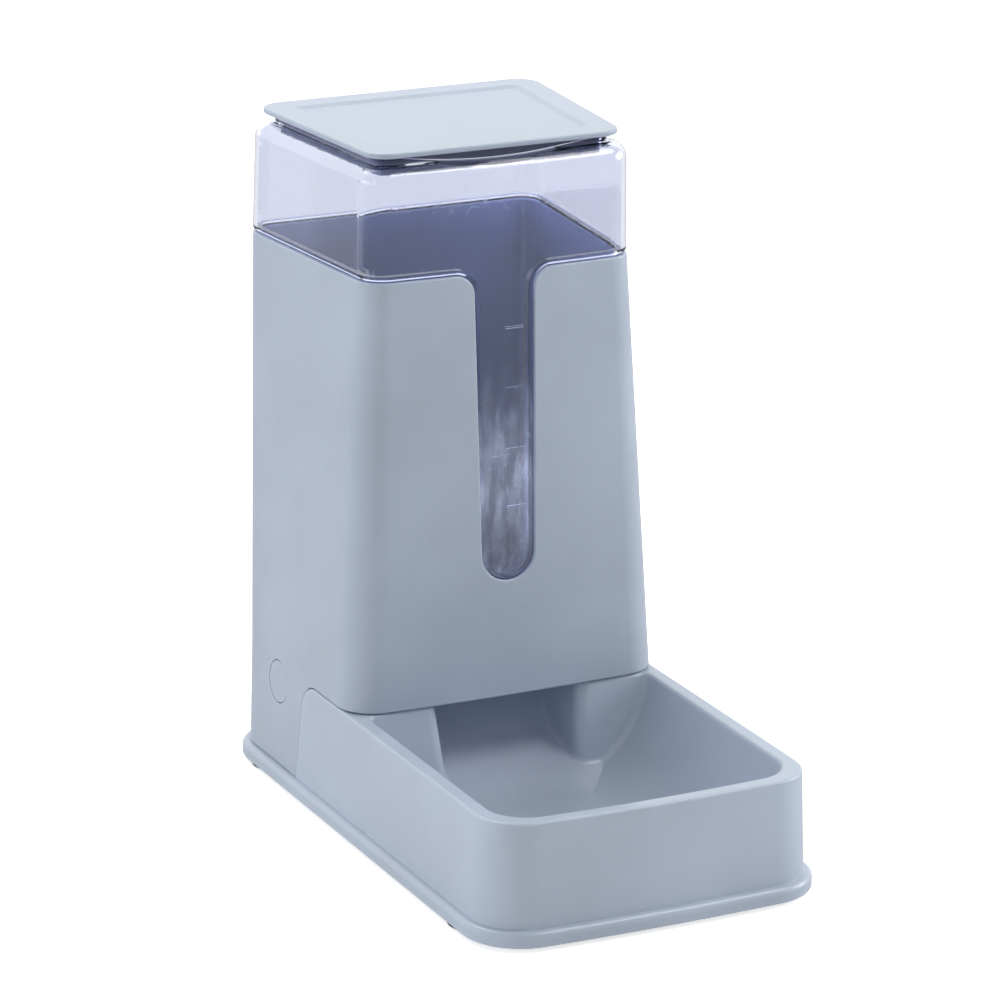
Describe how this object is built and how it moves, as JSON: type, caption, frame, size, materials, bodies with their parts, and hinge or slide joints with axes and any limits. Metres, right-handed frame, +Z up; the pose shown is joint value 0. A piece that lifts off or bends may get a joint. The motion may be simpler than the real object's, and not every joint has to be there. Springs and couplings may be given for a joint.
{
  "type": "gravity pet food dispenser",
  "caption": "Upright gravity food dispenser: a clear lidded hopper in an opaque tower feeds dry pet food down a ramp into a rounded rectangular bowl.",
  "frame": {"origin": "on the floor below the middle of the outer size", "axes": "+Z up, the bowl and the front face towards -Y, X across the width"},
  "size_m": [0.167, 0.285, 0.309],
  "materials": {
    "base_plastic": "satin moulded plastic, blue grey",
    "shell_plastic": "satin moulded plastic, blue grey",
    "lid_plastic": "satin moulded plastic, blue grey",
    "clear_plastic": "clear moulded plastic with a slight violet tint",
    "rubber": "black rubber"
  },
  "bodies": {
    "stand": {"bowl_base": "base_plastic", "tower_shell": "shell_plastic", "foot_front_left": "rubber", "foot_front_right": "rubber", "foot_rear_left": "rubber", "foot_rear_right": "rubber"},
    "hopper": {"hopper": "clear_plastic"},
    "lid": {"lid": "lid_plastic"},
    "left_latch": {"left_latch": "shell_plastic"},
    "right_latch": {"right_latch": "shell_plastic"}
  },
  "joints": [
    {"name": "hopper_lift", "type": "slide", "parent": "stand", "child": "hopper", "axis": [0, 0, 1], "range_m": [0, 0.2]},
    {"name": "lid_lift", "type": "slide", "parent": "hopper", "child": "lid", "axis": [0, 0, 1], "range_m": [0, 0.08]},
    {"name": "left_button", "type": "hinge", "parent": "stand", "child": "left_latch", "pos_m": [-0.0733, 0.0918, 0.015], "axis": [0, 1, 0], "range_deg": [0, 6], "stiffness_Nm_per_rad": 3.5},
    {"name": "right_button", "type": "hinge", "parent": "stand", "child": "right_latch", "pos_m": [0.0733, 0.0918, 0.015], "axis": [0, -1, 0], "range_deg": [0, 6], "stiffness_Nm_per_rad": 3.5}
  ]
}
